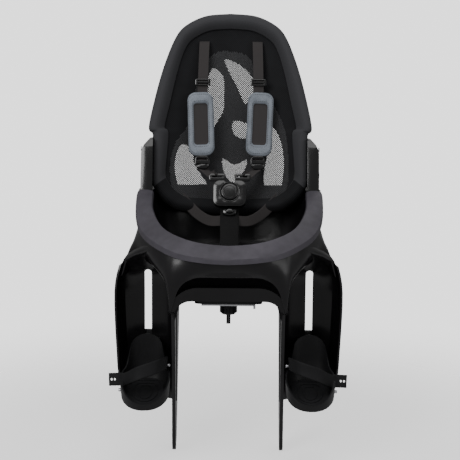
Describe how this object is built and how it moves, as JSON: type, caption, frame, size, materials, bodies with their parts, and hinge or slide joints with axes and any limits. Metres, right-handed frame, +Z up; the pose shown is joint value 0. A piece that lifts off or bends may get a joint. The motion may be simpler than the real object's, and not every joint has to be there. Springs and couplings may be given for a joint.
{
  "type": "rear child bike seat",
  "caption": "Rear carrier child seat: moulded bucket with leg shields, mesh back, harness, sliding foot cups and a carrier clamp.",
  "frame": {"origin": "middle of the carrier adapter's underside, where it stands on the carrier", "axes": "+Z up, -Y the way the child faces, +X to the child's left; the seat is symmetric about X"},
  "size_m": [0.44, 0.4137, 0.8015],
  "materials": {
    "shell_plastic": "satin black moulding",
    "rim_rubber": "matte anthracite soft-touch band",
    "pad_fabric": "black padded fabric",
    "frame_plastic": "black, fine grain",
    "air_mesh": "black air mesh",
    "bracket_plastic": "gloss black",
    "zinc_steel": "zinc plated",
    "clamp_steel": "plated strip",
    "buckle_plastic": "gloss black",
    "strap_rubber": "matte black",
    "button_plastic": "grey",
    "pad_grey": "grey moulded foam with a woven face",
    "webbing": "ribbed black webbing"
  },
  "bodies": {
    "seat": {"seat_shell": "shell_plastic", "rim_trim": "rim_rubber", "seat_pad": "pad_fabric", "back_shell": "frame_plastic", "back_mesh": "air_mesh", "side_bracket_left": "bracket_plastic", "side_bracket_right": "bracket_plastic", "bracket_screws": "zinc_steel", "back_screws": "zinc_steel", "shoulder_strap_left": "webbing", "shoulder_strap_right": "webbing", "upper_adjuster_left": "buckle_plastic", "upper_adjuster_right": "buckle_plastic", "shoulder_pad_left": "pad_grey", "shoulder_pad_right": "pad_grey", "lower_adjuster_left": "buckle_plastic", "lower_adjuster_right": "buckle_plastic", "lower_strap_left": "webbing", "lower_strap_right": "webbing", "lap_strap_left": "webbing", "lap_strap_right": "webbing", "buckle_tongue_left": "buckle_plastic", "buckle_tongue_right": "buckle_plastic", "buckle_body": "buckle_plastic", "buckle_back": "buckle_plastic", "buckle_spring": "zinc_steel", "crotch_strap": "pad_fabric", "harness_anchor": "zinc_steel", "adapter_body": "frame_plastic", "adapter_screws": "zinc_steel", "clamp_bolt": "zinc_steel"},
    "foot_cup_left": {"footrest_left": "frame_plastic", "foot_mat_left": "strap_rubber", "foot_strap_left": "strap_rubber", "strap_pegs_left": "zinc_steel", "footrest_slider_left": "frame_plastic"},
    "foot_lock_left": {"footrest_lock_left": "button_plastic"},
    "foot_cup_right": {"footrest_right": "frame_plastic", "foot_mat_right": "strap_rubber", "foot_strap_right": "strap_rubber", "strap_pegs_right": "zinc_steel", "footrest_slider_right": "frame_plastic"},
    "foot_lock_right": {"footrest_lock_right": "button_plastic"},
    "buckle_press": {"buckle_button": "buckle_plastic"},
    "clamp": {"clamp_plate": "clamp_steel"},
    "clamp_hand_knob": {"clamp_knob": "frame_plastic"}
  },
  "joints": [
    {"name": "foot_cup_left_height", "type": "slide", "parent": "seat", "child": "foot_cup_left", "axis": [0, 0, 1], "range_m": [0, 0.11]},
    {"name": "foot_lock_left_press", "type": "slide", "parent": "foot_cup_left", "child": "foot_lock_left", "axis": [0, -1, 0], "range_m": [0, 0.0025], "stiffness_N_per_m": 900, "springref_m": -0.001},
    {"name": "foot_cup_right_height", "type": "slide", "parent": "seat", "child": "foot_cup_right", "axis": [0, 0, 1], "range_m": [0, 0.11]},
    {"name": "foot_lock_right_press", "type": "slide", "parent": "foot_cup_right", "child": "foot_lock_right", "axis": [0, -1, 0], "range_m": [0, 0.0025], "stiffness_N_per_m": 900, "springref_m": -0.001},
    {"name": "buckle_button_press", "type": "slide", "parent": "seat", "child": "buckle_press", "axis": [0, 0.9135, -0.4067], "range_m": [0, 0.003], "stiffness_N_per_m": 900, "springref_m": -0.001, "deforming": ["buckle_spring"]},
    {"name": "clamp_travel", "type": "slide", "parent": "seat", "child": "clamp", "axis": [0, 0, -1], "range_m": [0, 0.018]},
    {"name": "clamp_knob_turn", "type": "hinge", "parent": "clamp", "child": "clamp_hand_knob", "pos_m": [0, -0.042, -0.014], "axis": [0, 0, 1], "range_deg": [0, 5184]}
  ],
  "couplings": [
    {"joint": "clamp_knob_turn", "follows": "clamp_travel", "rad_per_m": 5026.5}
  ]
}
